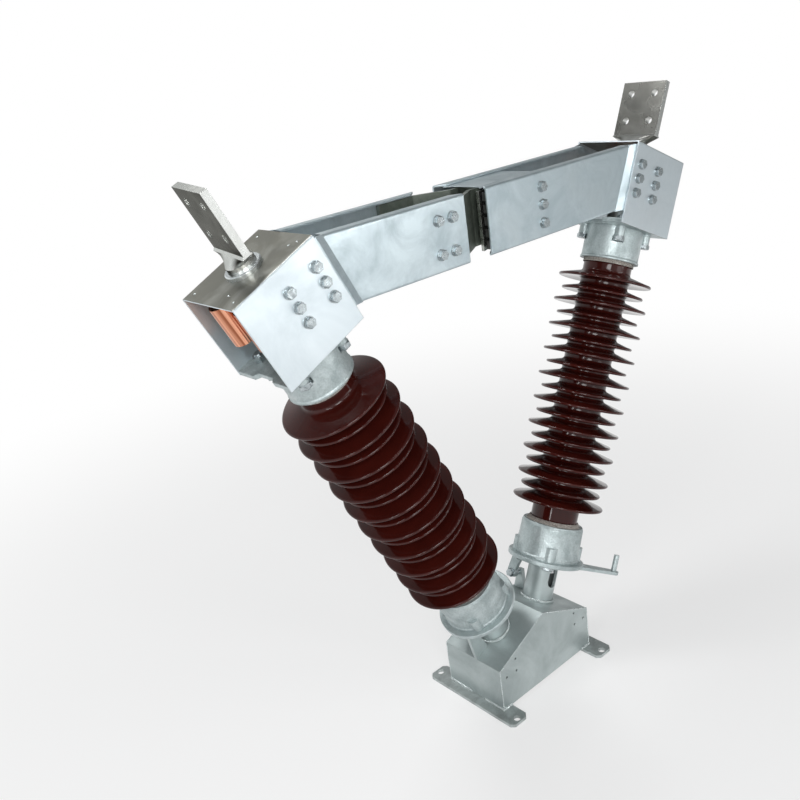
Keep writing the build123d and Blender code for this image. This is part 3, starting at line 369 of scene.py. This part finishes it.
# Fasteners. Zinc-plated hexagon bolts, nuts and washers that clamp the flanges, the boxes and the
# arms; their faces catch more light than the sheet and castings around them.
bolt_zinc = cloudy_metal(
    "bolt_zinc", light=(0.52, 0.57, 0.59, 1), shade=(0.27, 0.30, 0.31, 1),
    patch_scale=120, grain_scale=1400, grain_amount=0.25, smooth=0.22, rough=0.4, metallic=0.95,
    relief=0.1, depth=0.0001,
)
finish_nodes(bolt_zinc, "right_stop_screw", "male_contact_bolts", "right_arm_bolts")
for side in ("left", "right"):
    finish_nodes(bolt_zinc, side + "_bottom_flange_bolts", side + "_top_flange_bolts")
    finish_nodes(bolt_zinc, side + "_box_bolts")

# Porcelain posts. Solid porcelain, turned with large and small sheds by turns and fired with a
# dark red-brown glaze that draws round on the shed rims, where it catches the light.
glaze_brown = (0.060, 0.0078, 0.0052, 1)
glaze_dark = (0.022, 0.0033, 0.0024, 1)
glaze = bpy.data.materials.new("brown_glaze")
glaze.use_nodes = True
tree = glaze.node_tree
shader = tree.nodes["Principled BSDF"]
place = tree.nodes.new("ShaderNodeTexCoord")
pooling = tree.nodes.new("ShaderNodeTexNoise")
pooling.inputs["Scale"].default_value = 16
pooling.inputs["Detail"].default_value = 4
depth = tree.nodes.new("ShaderNodeMix")
depth.data_type = "RGBA"
depth.inputs["A"].default_value = glaze_dark
depth.inputs["B"].default_value = glaze_brown
ripple = tree.nodes.new("ShaderNodeTexNoise")
ripple.inputs["Scale"].default_value = 70
ripple.inputs["Detail"].default_value = 2
swell = tree.nodes.new("ShaderNodeBump")
swell.inputs["Strength"].default_value = 0.12
swell.inputs["Distance"].default_value = 0.0008
tree.links.new(place.outputs["Object"], pooling.inputs["Vector"])
tree.links.new(place.outputs["Object"], ripple.inputs["Vector"])
tree.links.new(pooling.outputs["Fac"], depth.inputs["Factor"])
tree.links.new(depth.outputs["Result"], shader.inputs["Base Color"])
tree.links.new(ripple.outputs["Fac"], swell.inputs["Height"])
tree.links.new(swell.outputs["Normal"], shader.inputs["Normal"])
soft_rim = tree.nodes.new("ShaderNodeBevel")
soft_rim.samples = 12
soft_rim.inputs["Radius"].default_value = 0.006
tree.links.new(soft_rim.outputs["Normal"], swell.inputs["Normal"])
shader.inputs["Roughness"].default_value = 0.08
shader.inputs["Specular IOR Level"].default_value = 0.32
finish_nodes(glaze, "left_porcelain", "right_porcelain")

# Cement rings. Portland cement poured between the porcelain and each of its fittings; it shows as
# a narrow ring, rough and speckled with sand.
cement_mix = cloudy_metal(
    "cement_mix", light=(0.52, 0.50, 0.46, 1), shade=(0.20, 0.165, 0.145, 1),
    patch_scale=330, grain_scale=900, grain_amount=0.7, smooth=0.8, rough=0.95, metallic=0.0,
    relief=1.0, depth=0.0016, corner=0,
)
finish_nodes(cement_mix, "left_cement_rings", "right_cement_rings")

# Box floors. A cast plate with the terminal's pivot boss on it, galvanised like the other
# castings and bolted on the post's top fitting.
finish_nodes(zinc_cast, "left_box_floor", "right_box_floor")

# Flexible connectors. Bundles of thin copper strip in loose folds, so that the terminal can
# stay still while the box turns.
for side, lean in (("left", -tilt), ("right", tilt)):
    copper = bpy.data.materials.new(side + "_copper_strip")
    copper.use_nodes = True
    tree = copper.node_tree
    shader = tree.nodes["Principled BSDF"]
    place = tree.nodes.new("ShaderNodeTexCoord")
    along = tree.nodes.new("ShaderNodeMapping")
    along.vector_type = "TEXTURE"
    along.inputs["Rotation"].default_value = (0, lean, 0)
    along.inputs["Scale"].default_value = (1, 1, 60)
    layers = tree.nodes.new("ShaderNodeTexNoise")
    layers.inputs["Scale"].default_value = 150
    layers.inputs["Detail"].default_value = 3
    spread = tree.nodes.new("ShaderNodeMapRange")
    spread.inputs["From Min"].default_value = 0.38
    spread.inputs["From Max"].default_value = 0.62
    tone = tree.nodes.new("ShaderNodeMix")
    tone.data_type = "RGBA"
    tone.inputs["A"].default_value = (0.34, 0.115, 0.06, 1)
    tone.inputs["B"].default_value = (0.86, 0.42, 0.27, 1)
    ridges = tree.nodes.new("ShaderNodeBump")
    ridges.inputs["Strength"].default_value = 0.8
    ridges.inputs["Distance"].default_value = 0.002
    tree.links.new(place.outputs["Object"], along.inputs["Vector"])
    tree.links.new(along.outputs["Vector"], layers.inputs["Vector"])
    tree.links.new(layers.outputs["Fac"], spread.inputs["Value"])
    tree.links.new(spread.outputs["Result"], tone.inputs["Factor"])
    tree.links.new(tone.outputs["Result"], shader.inputs["Base Color"])
    tree.links.new(layers.outputs["Fac"], ridges.inputs["Height"])
    tree.links.new(ridges.outputs["Normal"], shader.inputs["Normal"])
    shader.inputs["Metallic"].default_value = 1.0
    shader.inputs["Roughness"].default_value = 0.24
    finish_nodes(copper, side + "_flexible_connector")

# Box covers. Aluminium sheet bent to a hood over the floor plate and bolted through its sides,
# with a few small weld tacks; the top face and its underside are darkened: painted shade, partly dust.
sheet_light = (0.70, 0.765, 0.80, 1)
sheet_shade = (0.58, 0.645, 0.68, 1)


def dust_and_painted_shade_group():
    """Darkens faces that look along one axis, either way, in smeared patches: painted shade, partly
    dust.
    """
    group = bpy.data.node_groups.new("settled_dust_and_painted_shade", "ShaderNodeTree")
    socket(group, "Color", "INPUT", "NodeSocketColor")
    socket(group, "Dust And Painted Shade", "INPUT", "NodeSocketColor")
    socket(group, "Smear", "INPUT", "NodeSocketColor")
    socket(group, "Axis", "INPUT", "NodeSocketVector", (0, 0, 1))
    socket(group, "Color", "OUTPUT", "NodeSocketColor")
    put, join = group.nodes.new, group.links.new
    inside, outside = put("NodeGroupInput"), put("NodeGroupOutput")
    place = put("ShaderNodeTexCoord")
    # Painted shade, partly dust: faces whose normal lies along the axis, either way, take the darker
    # colour.
    facing = put("ShaderNodeVectorMath")
    facing.operation = "DOT_PRODUCT"
    either = put("ShaderNodeMath")
    either.operation = "ABSOLUTE"
    mask = put("ShaderNodeMapRange")
    mask.inputs["From Min"].default_value = 0.80
    mask.inputs["From Max"].default_value = 0.97
    smear = put("ShaderNodeTexNoise")
    smear.inputs["Scale"].default_value = 11
    smear.inputs["Detail"].default_value = 6
    smear.inputs["Distortion"].default_value = 1.2
    span = put("ShaderNodeMapRange")
    span.inputs["From Min"].default_value = 0.42
    span.inputs["From Max"].default_value = 0.68
    dust_and_shade_tone = put("ShaderNodeMix")
    dust_and_shade_tone.data_type = "RGBA"
    cover = put("ShaderNodeMix")
    cover.data_type = "RGBA"
    join(place.outputs["Normal"], facing.inputs[0])
    join(inside.outputs["Axis"], facing.inputs[1])
    join(facing.outputs["Value"], either.inputs[0])
    join(either.outputs[0], mask.inputs["Value"])
    join(place.outputs["Object"], smear.inputs["Vector"])
    join(smear.outputs["Fac"], span.inputs["Value"])
    join(span.outputs["Result"], dust_and_shade_tone.inputs["Factor"])
    join(inside.outputs["Dust And Painted Shade"], dust_and_shade_tone.inputs["A"])
    join(inside.outputs["Smear"], dust_and_shade_tone.inputs["B"])
    join(mask.outputs["Result"], cover.inputs["Factor"])
    join(inside.outputs["Color"], cover.inputs["A"])
    join(dust_and_shade_tone.outputs["Result"], cover.inputs["B"])
    join(cover.outputs["Result"], outside.inputs["Color"])
    return group


dust_and_painted_shade = dust_and_painted_shade_group()


def add_dust_and_painted_shade(material, dark, smear, axis):
    """Lays painted shade, partly dust, over the faces of a cloudy finish that look along one axis."""
    tree = material.node_tree
    dust_and_shade_layer = tree.nodes.new("ShaderNodeGroup")
    dust_and_shade_layer.node_tree = dust_and_painted_shade
    dust_and_shade_layer.inputs["Dust And Painted Shade"].default_value = dark
    dust_and_shade_layer.inputs["Smear"].default_value = smear
    dust_and_shade_layer.inputs["Axis"].default_value = axis
    tree.links.new(tree.nodes["finish"].outputs["Color"], dust_and_shade_layer.inputs["Color"])
    tree.links.new(dust_and_shade_layer.outputs["Color"], tree.nodes["Principled BSDF"].inputs["Base Color"])


tack_radius = 0.0026
tack_flatness = 0.4
tack_places = (
    (0.078, -0.066), (0.066, -0.034), (0.078, 0.066),
    (-0.082, -0.064), (-0.07, -0.052), (-0.082, 0.064),
)
for side, lean in (("left", -1), ("right", 1)):
    hood_sheet = cloudy_metal(
        side + "_hood_sheet", light=sheet_light, shade=sheet_shade,
        patch_scale=7, grain_scale=900, grain_amount=0.08, smooth=0.30, rough=0.42, metallic=0.8,
        relief=0.05, depth=0.0001, corner=0.002,
    )
    axis = Vector((lean * sin(tilt), 0, cos(tilt)))
    # Painted shade, partly dust: the cover's faces along the column axis are darkened.
    add_dust_and_painted_shade(hood_sheet, (0.155, 0.152, 0.128, 1), (0.27, 0.272, 0.245, 1), axis)
    finish_nodes(hood_sheet, side + "_box_cover")
    outward = Vector((lean * cos(tilt), 0, -sin(tilt)))
    cover = nodes[side + "_box_cover"]
    cover_top = max((cover.matrix_world @ point.co - vertex).dot(axis) for point in cover.data.vertices)
    tacks = []
    for across, beside in tack_places:
        bpy.ops.mesh.primitive_uv_sphere_add(
            segments=12, ring_count=6, radius=tack_radius, location=(0, 0, 0)
        )
        tack = bpy.context.active_object
        bpy.ops.object.mode_set(mode="EDIT")
        bpy.ops.mesh.select_all(action="SELECT")
        bpy.ops.transform.resize(value=(1, 1, tack_flatness))
        bpy.ops.transform.rotate(value=-lean * tilt, orient_axis="Y", center_override=(0, 0, 0))
        place = vertex + axis * cover_top + outward * across + Vector((0, beside, 0))
        bpy.ops.transform.translate(value=place)
        bpy.ops.object.mode_set(mode="OBJECT")
        tacks.append(tack)
    laid_weld(side + "_cover_tacks", tacks, side + "_column", wander=0.0001)

# Collars and terminals. Machined aluminium: a ring that guides the stem, and a stem with a flat
# palm for four bolts.
collar_ring = cloudy_metal(
    "collar_ring", light=(0.72, 0.76, 0.77, 1), shade=(0.58, 0.61, 0.62, 1),
    patch_scale=40, grain_scale=1300, grain_amount=0.2, smooth=0.2, rough=0.34, metallic=0.9,
)
palm_twist = {"left": radians(-7), "right": 0}
# Painted shade, partly dust: the palms' broad faces are darkened, the left palm's more than the
# right's.
palm_dust_and_painted_shade = {
    "left": ((0.050, 0.050, 0.045, 1), (0.12, 0.121, 0.11, 1)),
    "right": ((0.095, 0.095, 0.088, 1), (0.145, 0.145, 0.136, 1)),
}
for side, lean in (("left", -tilt), ("right", tilt)):
    milled = cloudy_metal(
        side + "_milled_palm", light=(0.70, 0.71, 0.69, 1), shade=(0.58, 0.585, 0.565, 1),
        patch_scale=14, grain_scale=420, grain_amount=0.14, smooth=0.22, rough=0.34, metallic=0.9,
        relief=0.04, depth=0.0001, corner=0.0012, turn=(0, lean, 0), stretch=(1, 1, 14),
    )
    milled_shader = milled.node_tree.nodes["Principled BSDF"]
    milled_shader.inputs["Specular Tint"].default_value = (0.55, 0.55, 0.53, 1)
    twist = palm_twist[side]
    face = Vector((cos(lean) * cos(twist), sin(twist), -sin(lean) * cos(twist)))
    dark, smear = palm_dust_and_painted_shade[side]
    # Painted shade, partly dust, on both broad faces of the palm.
    add_dust_and_painted_shade(milled, dark, smear, face)
    finish_nodes(milled, side + "_terminal")
    finish_nodes(collar_ring, side + "_terminal_collar")

# Arms. Two pressed aluminium channels a side with a satin skin; their outer ends are set outwards
# over the box cover and bolted to it.
channel_skin = cloudy_metal(
    "channel_skin", light=(0.56, 0.64, 0.672, 1), shade=(0.39, 0.46, 0.492, 1),
    patch_scale=11, grain_scale=900, grain_amount=0.1, smooth=0.28, rough=0.44, metallic=0.75,
    relief=0.05, depth=0.0001, corner=0.0015,
)
for side in ("left", "right"):
    finish_nodes(channel_skin, side + "_arm_front_channel", side + "_arm_rear_channel")

# Contacts. A bent copper plate with a dull tinned skin runs into two rows of bright fingers,
# which leaf springs press on it; the holder and the guard plate are aluminium.
dull_tin = cloudy_metal(
    "dull_tin", light=(0.20, 0.225, 0.195, 1), shade=(0.12, 0.14, 0.118, 1),
    patch_scale=24, grain_scale=900, grain_amount=0.2, smooth=0.3, rough=0.45, metallic=0.7,
    relief=0.1, depth=0.0001,
)
bright_tin = cloudy_metal(
    "bright_tin", light=(0.55, 0.56, 0.53, 1), shade=(0.26, 0.265, 0.245, 1),
    patch_scale=70, grain_scale=900, grain_amount=0.2, smooth=0.22, rough=0.36, metallic=0.95,
    relief=0.06, depth=0.0001,
)
spring_leaf = cloudy_metal(
    "spring_leaf", light=(0.14, 0.14, 0.14, 1), shade=(0.08, 0.08, 0.08, 1),
    patch_scale=50, grain_scale=900, grain_amount=0.1, smooth=0.3, rough=0.4, metallic=0.8,
)
finish_nodes(dull_tin, "male_contact")
finish_nodes(bright_tin, "front_contact_fingers", "rear_contact_fingers")
finish_nodes(spring_leaf, "finger_springs")
finish_nodes(channel_skin, "finger_holder", "finger_guard")

# Floor. A pale round floor that takes the object's shadow close to it and fades to plain white
# further out, so that no horizon shows against the surround.
floor_radius = 4.2
bpy.ops.mesh.primitive_circle_add(
    vertices=96, radius=floor_radius, fill_type="NGON", location=(0, 0, 0)
)
floor = bpy.context.active_object
floor.name = "floor"
bpy.ops.object.select_all(action="DESELECT")
pale = bpy.data.materials.new("pale_floor")
pale.use_nodes = True
tree = pale.node_tree
pale_shader = tree.nodes["Principled BSDF"]
pale_shader.inputs["Base Color"].default_value = (0.86, 0.86, 0.86, 1)
pale_shader.inputs["Roughness"].default_value = 0.9
pale_shader.inputs["Specular IOR Level"].default_value = 0.2
place = tree.nodes.new("ShaderNodeTexCoord")
reach = tree.nodes.new("ShaderNodeVectorMath")
reach.operation = "LENGTH"
fade = tree.nodes.new("ShaderNodeMapRange")
fade.interpolation_type = "SMOOTHSTEP"
fade.inputs["From Min"].default_value = 0.5
fade.inputs["From Max"].default_value = 3.2
fade.inputs["To Min"].default_value = 0.58
fade.inputs["To Max"].default_value = 1.0
rays = tree.nodes.new("ShaderNodeLightPath")
seen = tree.nodes.new("ShaderNodeMath")
seen.operation = "MAXIMUM"
seen_also = tree.nodes.new("ShaderNodeMath")
seen_also.operation = "MAXIMUM"
amount = tree.nodes.new("ShaderNodeMath")
amount.operation = "MULTIPLY"
plain_white = tree.nodes.new("ShaderNodeEmission")
plain_white.inputs["Strength"].default_value = 1.0
lay_over = tree.nodes.new("ShaderNodeMixShader")
tree.links.new(place.outputs["Object"], reach.inputs[0])
tree.links.new(reach.outputs["Value"], fade.inputs["Value"])
tree.links.new(rays.outputs["Is Camera Ray"], seen.inputs[0])
tree.links.new(rays.outputs["Is Glossy Ray"], seen.inputs[1])
tree.links.new(seen.outputs[0], seen_also.inputs[0])
tree.links.new(rays.outputs["Is Transmission Ray"], seen_also.inputs[1])
tree.links.new(seen_also.outputs[0], amount.inputs[0])
tree.links.new(fade.outputs["Result"], amount.inputs[1])
tree.links.new(amount.outputs[0], lay_over.inputs[0])
tree.links.new(pale_shader.outputs[0], lay_over.inputs[1])
tree.links.new(plain_white.outputs[0], lay_over.inputs[2])
tree.links.new(lay_over.outputs[0], tree.nodes["Material Output"].inputs["Surface"])
floor.data.materials.append(pale)

# Surround. White to the camera and to mirrors, weaker as fill, and dimmed above and to the right
# so that the metal and the glaze keep some contrast.
world = bpy.data.worlds.new("surround")
bpy.context.scene.world = world
world.use_nodes = True
tree = world.node_tree
tree.nodes.clear()
heading = tree.nodes.new("ShaderNodeTexCoord")
parts = tree.nodes.new("ShaderNodeSeparateXYZ")
overhead = tree.nodes.new("ShaderNodeMapRange")
overhead.inputs["From Min"].default_value = 0.15
overhead.inputs["From Max"].default_value = 0.7
overhead.inputs["To Min"].default_value = 1.0
overhead.inputs["To Max"].default_value = 0.3
beside = tree.nodes.new("ShaderNodeMapRange")
beside.inputs["From Min"].default_value = 0.4
beside.inputs["From Max"].default_value = 0.82
beside.inputs["To Min"].default_value = 1.0
beside.inputs["To Max"].default_value = 0.3
both = tree.nodes.new("ShaderNodeMath")
both.operation = "MULTIPLY"
rays = tree.nodes.new("ShaderNodeLightPath")
mirrored = tree.nodes.new("ShaderNodeMath")
mirrored.operation = "MAXIMUM"
fill_level = tree.nodes.new("ShaderNodeMath")
fill_level.operation = "MULTIPLY"
fill_level.inputs[1].default_value = 0.5
fill = tree.nodes.new("ShaderNodeBackground")
fill.inputs["Color"].default_value = (0.95, 0.985, 1.0, 1)
mirror_white = tree.nodes.new("ShaderNodeBackground")
mirror_white.inputs["Color"].default_value = (0.97, 1.0, 1.0, 1)
white = tree.nodes.new("ShaderNodeBackground")
white.inputs["Color"].default_value = (1, 1, 1, 1)
white.inputs["Strength"].default_value = 1.0
choose_mirror = tree.nodes.new("ShaderNodeMixShader")
choose = tree.nodes.new("ShaderNodeMixShader")
out = tree.nodes.new("ShaderNodeOutputWorld")
tree.links.new(heading.outputs["Generated"], parts.inputs[0])
tree.links.new(parts.outputs["Z"], overhead.inputs["Value"])
tree.links.new(parts.outputs["X"], beside.inputs["Value"])
tree.links.new(overhead.outputs["Result"], both.inputs[0])
tree.links.new(beside.outputs["Result"], both.inputs[1])
tree.links.new(both.outputs[0], fill_level.inputs[0])
tree.links.new(fill_level.outputs[0], fill.inputs["Strength"])
tree.links.new(both.outputs[0], mirror_white.inputs["Strength"])
tree.links.new(rays.outputs["Is Glossy Ray"], mirrored.inputs[0])
tree.links.new(rays.outputs["Is Transmission Ray"], mirrored.inputs[1])
tree.links.new(mirrored.outputs[0], choose_mirror.inputs[0])
tree.links.new(fill.outputs[0], choose_mirror.inputs[1])
tree.links.new(mirror_white.outputs[0], choose_mirror.inputs[2])
tree.links.new(rays.outputs["Is Camera Ray"], choose.inputs[0])
tree.links.new(choose_mirror.outputs[0], choose.inputs[1])
tree.links.new(white.outputs[0], choose.inputs[2])
tree.links.new(choose.outputs[0], out.inputs[0])

# Lamps. A soft key from the left front, a low one that the left box mirrors, a broad one overhead
# behind the object, and three strips that draw the narrow highlights on the glaze.
for lamp_name, spot, aim, wide, high, power in (
    ("key_lamp", (-1.9, -2.5, 2.0), (-0.2, 0, 0.9), 1.2, 1.2, 43),
    ("low_lamp", (0.65, -2.3, 0.95), (-0.5, 0, 1.2), 0.9, 0.9, 4),
    ("side_strip", (-2.6, -0.9, 1.5), (0.2, 0, 0.7), 0.16, 1.6, 12),
    ("front_strip", (1.5, -2.4, 1.5), (0.3, 0, 0.8), 0.16, 1.6, 9),
    ("overhead_strip", (-0.66, 1.03, 3.28), (-0.33, 0, 0.7), 0.6, 1.1, 36),
    ("top_strip", (-0.4, -2.2, 2.7), (-0.2, 0, 0.8), 1.2, 0.15, 8),
):
    bpy.ops.object.light_add(type="AREA", location=spot)
    lamp = bpy.context.active_object
    lamp.name = lamp_name
    lamp.data.shape = "RECTANGLE"
    lamp.data.size = wide
    lamp.data.size_y = high
    lamp.data.energy = power
    lamp.rotation_euler = (Vector(aim) - Vector(spot)).to_track_quat("-Z", "Y").to_euler()
bpy.ops.object.select_all(action="DESELECT")

# Camera. It stands where the photograph was taken from and looks the same way; the focal length
# is given in the photograph's own pixels.
standpoint = (-1.32746, -1.35709, 1.51104)
heading, pitch, roll = radians(51.9824), radians(-21.3999), radians(-8.4496)
focal_pixels = 893.854
picture_pixels = 800
eye = bpy.data.cameras.new("studio_camera")
eye.sensor_width = 36
eye.lens = focal_pixels / picture_pixels * eye.sensor_width
camera = bpy.data.objects.new("studio_camera", eye)
bpy.context.scene.collection.objects.link(camera)
level_turn = Matrix.Rotation(heading - pi / 2, 4, "Z") @ Matrix.Rotation(pi / 2 + pitch, 4, "X")
camera.matrix_world = Matrix.Translation(standpoint) @ level_turn @ Matrix.Rotation(roll, 4, "Z")
bpy.context.scene.camera = camera
bpy.context.scene.view_settings.view_transform = "Standard"
